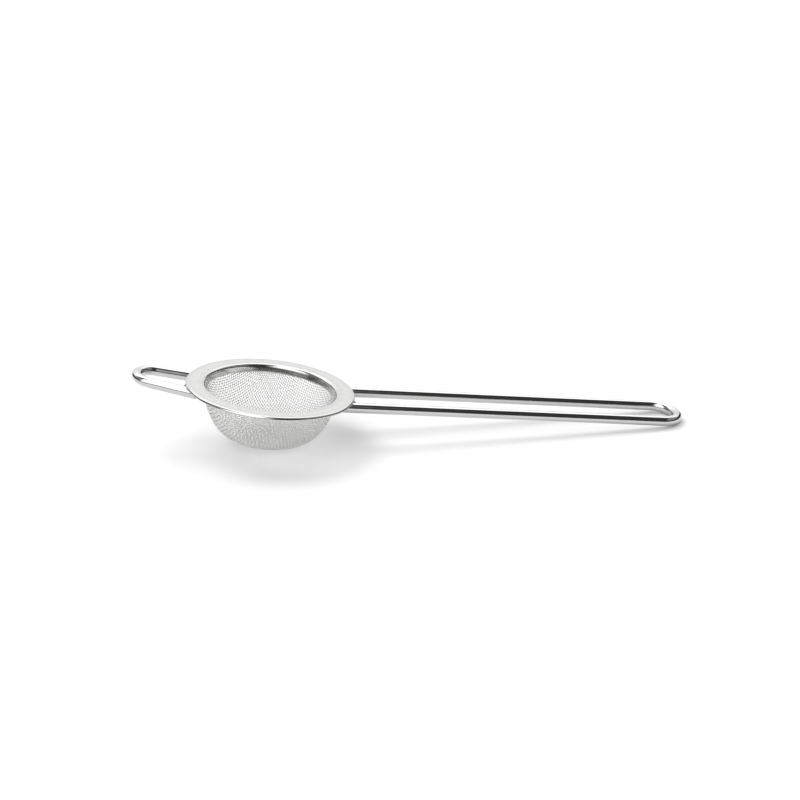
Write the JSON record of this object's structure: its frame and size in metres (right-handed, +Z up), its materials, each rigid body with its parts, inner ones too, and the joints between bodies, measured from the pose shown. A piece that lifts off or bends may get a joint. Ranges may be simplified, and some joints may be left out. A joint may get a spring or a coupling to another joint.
{
  "type": "tea strainer",
  "caption": "Round tea strainer with a woven wire bowl in a flat pressed rim, a long looped wire handle and a short wire rest hook.",
  "frame": {"origin": "on the table, under the middle of the strainer's outline, with the strainer at rest on its bowl and the end of its handle", "axes": "+X towards the handle's far end, +Z up from the table"},
  "size_m": [0.2338, 0.07, 0.0318],
  "materials": {
    "pressed_rim": "satin on the flat brim, polished on its rounded edges",
    "band": "satin",
    "wire_cloth": "drawn wire, plain weave",
    "polished_wire": "bright polished stainless wire",
    "weld_metal": "as welded, lightly cleaned"
  },
  "bodies": {
    "root": {"rim_flange": "pressed_rim", "clamp_band": "band", "mesh_bowl": "wire_cloth", "handle_wire": "polished_wire", "hook_wire": "polished_wire", "handle_welds": "weld_metal", "hook_welds": "weld_metal"}
  },
  "joints": []
}
